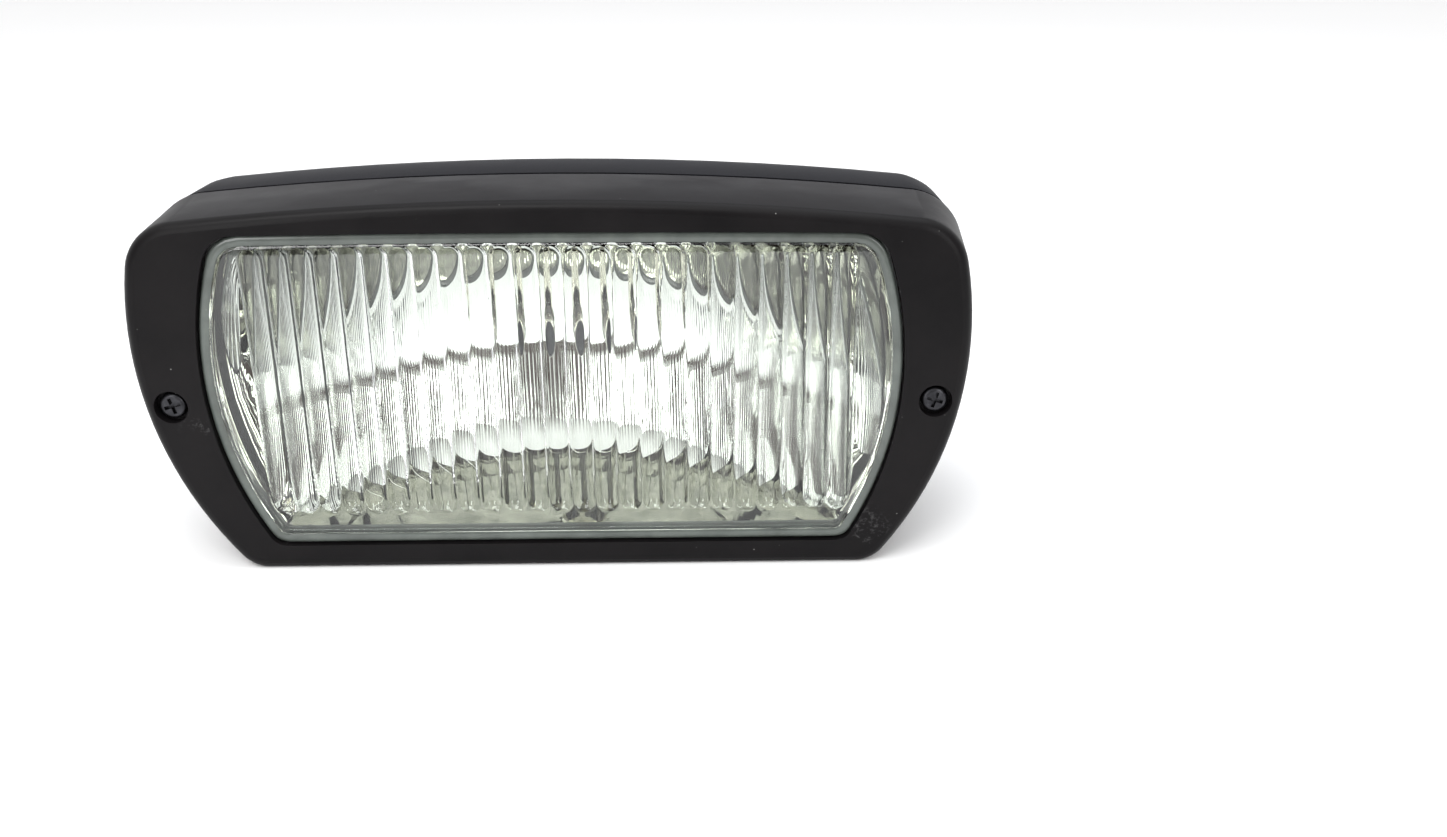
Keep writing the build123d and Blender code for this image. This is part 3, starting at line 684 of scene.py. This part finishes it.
for node_name, node_finish in NODE_MATERIALS.items():
    finish_node(node_name, node_finish)
make_lens(GLASS)
make_bead(SEALANT)
make_stud(STUD_STEEL)
make_dish_coat(MIRROR)


# ---- floor and lights ----
FLOOR_REACH = 4.0
FLOOR_FRONT = -0.42
LAMP_MIDDLE = (0, 0, 0.05)
LENS_MIDDLE = (0, -0.08, 0.05)


def make_floor():
    mesh = bpy.data.meshes.new("floor")
    left, right, back = -FLOOR_REACH, FLOOR_REACH, FLOOR_REACH
    corners = [(left, FLOOR_FRONT, 0), (right, FLOOR_FRONT, 0), (right, back, 0), (left, back, 0)]
    mesh.from_pydata(corners, [], [(0, 1, 2, 3)])
    floor = bpy.data.objects.new("floor", mesh)
    bpy.context.scene.collection.objects.link(floor)
    material, _, shader = node_material("floor_white")
    shader.inputs["Base Color"].default_value = (0.96, 0.96, 0.96, 1)
    shader.inputs["Roughness"].default_value = 0.7
    shader.inputs["Specular IOR Level"].default_value = 0.1
    mesh.materials.append(material)


def area_light(name, place, target, size, power, colour=(1, 1, 1)):
    light = bpy.data.lights.new(name, "AREA")
    light.shape = "RECTANGLE"
    light.size, light.size_y = size
    light.energy = power
    light.color = colour
    holder = bpy.data.objects.new(name, light)
    holder.location = place
    holder.rotation_euler = (Vector(target) - Vector(place)).to_track_quat("-Z", "Y").to_euler()
    bpy.context.scene.collection.objects.link(holder)


make_floor()
area_light("key", (-0.35, -0.75, 1.15), LAMP_MIDDLE, (0.7, 0.5), 7)
area_light("top", (0.15, 0.1, 1.25), LAMP_MIDDLE, (1.3, 1.0), 6, (0.93, 0.96, 1.0))
area_light("strip_left", (-0.42, -0.82, 0.3), LENS_MIDDLE, (0.22, 0.5), 1.9)
area_light("strip_right", (0.52, -0.8, 0.3), LENS_MIDDLE, (0.2, 0.5), 1.7)

# ---- room ----
WHITE, BROWN, GREY = (1.0, 1.0, 1.0), (0.045, 0.025, 0.018), (0.09, 0.08, 0.075)
BLUE_BLACK = (0.02, 0.025, 0.06)
# Upright stretches of wall, each from a bearing in degrees: 0 is straight out from the lens, + towards +X.
STRETCHES = (
    (-95, GREY),
    (-85, WHITE),
    (-74, BROWN),
    (-40, WHITE),
    (-14, BROWN),
    (19, WHITE),
    (44, BROWN),
    (78, WHITE),
    (88, GREY),
    (96, WHITE),
)
HALF_BLUR = 0.8  # degrees
BEHIND_AND_UP = (0.0, 0.87, 0.5)


def wall_colour(room, x, y):
    """Colour of the wall at the bearing of a direction."""
    bearing = room.nodes.new("ShaderNodeMath")
    bearing.operation = "ARCTAN2"
    room.links.new(x, bearing.inputs[0])
    room.links.new(times(room, y, -1.0), bearing.inputs[1])
    stops = []
    before = WHITE
    for start, colour in STRETCHES:
        stops.append(((start + 180 - HALF_BLUR) / 360, before))
        stops.append(((start + 180 + HALF_BLUR) / 360, colour))
        before = colour
    return ramp(room, remap(room, bearing.outputs["Value"], -math.pi, math.pi, 0.0, 1.0), stops)


def make_room():
    """White above and behind, with dark brownish and grey stretches, for the glass and dish to reflect."""
    world = bpy.data.worlds.new("studio")
    bpy.context.scene.world = world
    world.use_nodes = True
    room = world.node_tree
    direction = room.nodes.new("ShaderNodeTexCoord").outputs["Generated"]
    split = room.nodes.new("ShaderNodeSeparateXYZ")
    room.links.new(direction, split.inputs["Vector"])
    walls = wall_colour(room, split.outputs["X"], split.outputs["Y"])
    overhead = remap(room, split.outputs["Z"], 0.52, 0.62, 0.0, 1.0)
    below = remap(room, split.outputs["Z"], -0.03, 0.0, 0.85, 0.0)
    colour = mix_colour(room, overhead, mix_colour(room, below, walls, BROWN), WHITE)
    backward = room.nodes.new("ShaderNodeVectorMath")
    backward.operation = "DOT_PRODUCT"
    backward.inputs[1].default_value = BEHIND_AND_UP
    room.links.new(direction, backward.inputs[0])
    dark_patch = remap(room, backward.outputs["Value"], 0.7, 0.98, 0.0, 0.62)
    colour = mix_colour(room, dark_patch, colour, BLUE_BLACK)
    seen_directly = room.nodes.new("ShaderNodeLightPath").outputs["Is Camera Ray"]
    sky = room.nodes["Background"]
    room.links.new(mix_colour(room, seen_directly, colour, WHITE), sky.inputs["Color"])
    sky.inputs["Strength"].default_value = 1.2


make_room()
bpy.context.scene.view_settings.view_transform = "Standard"

# ---- camera ----
SENSOR_WIDTH = 36.0
FOCAL_SHARE = 1300 / 1447  # focal length as a share of the picture's width
CAMERA_TURN, CAMERA_PITCH = math.radians(1.36), math.radians(21.5)


def make_camera():
    data = bpy.data.cameras.new("camera")
    camera = bpy.data.objects.new("camera", data)
    bpy.context.scene.collection.objects.link(camera)
    bpy.context.scene.camera = camera
    data.sensor_width = SENSOR_WIDTH
    data.lens = SENSOR_WIDTH * FOCAL_SHARE
    data.dof.use_dof = False
    camera.location = (0.0354, FRONT - 0.3105, 0.1643)
    level = math.cos(CAMERA_PITCH)
    forward = Vector((math.sin(CAMERA_TURN) * level, math.cos(CAMERA_TURN) * level, -math.sin(CAMERA_PITCH)))
    camera.rotation_mode = "QUATERNION"
    camera.rotation_quaternion = forward.to_track_quat("-Z", "Y")


make_camera()
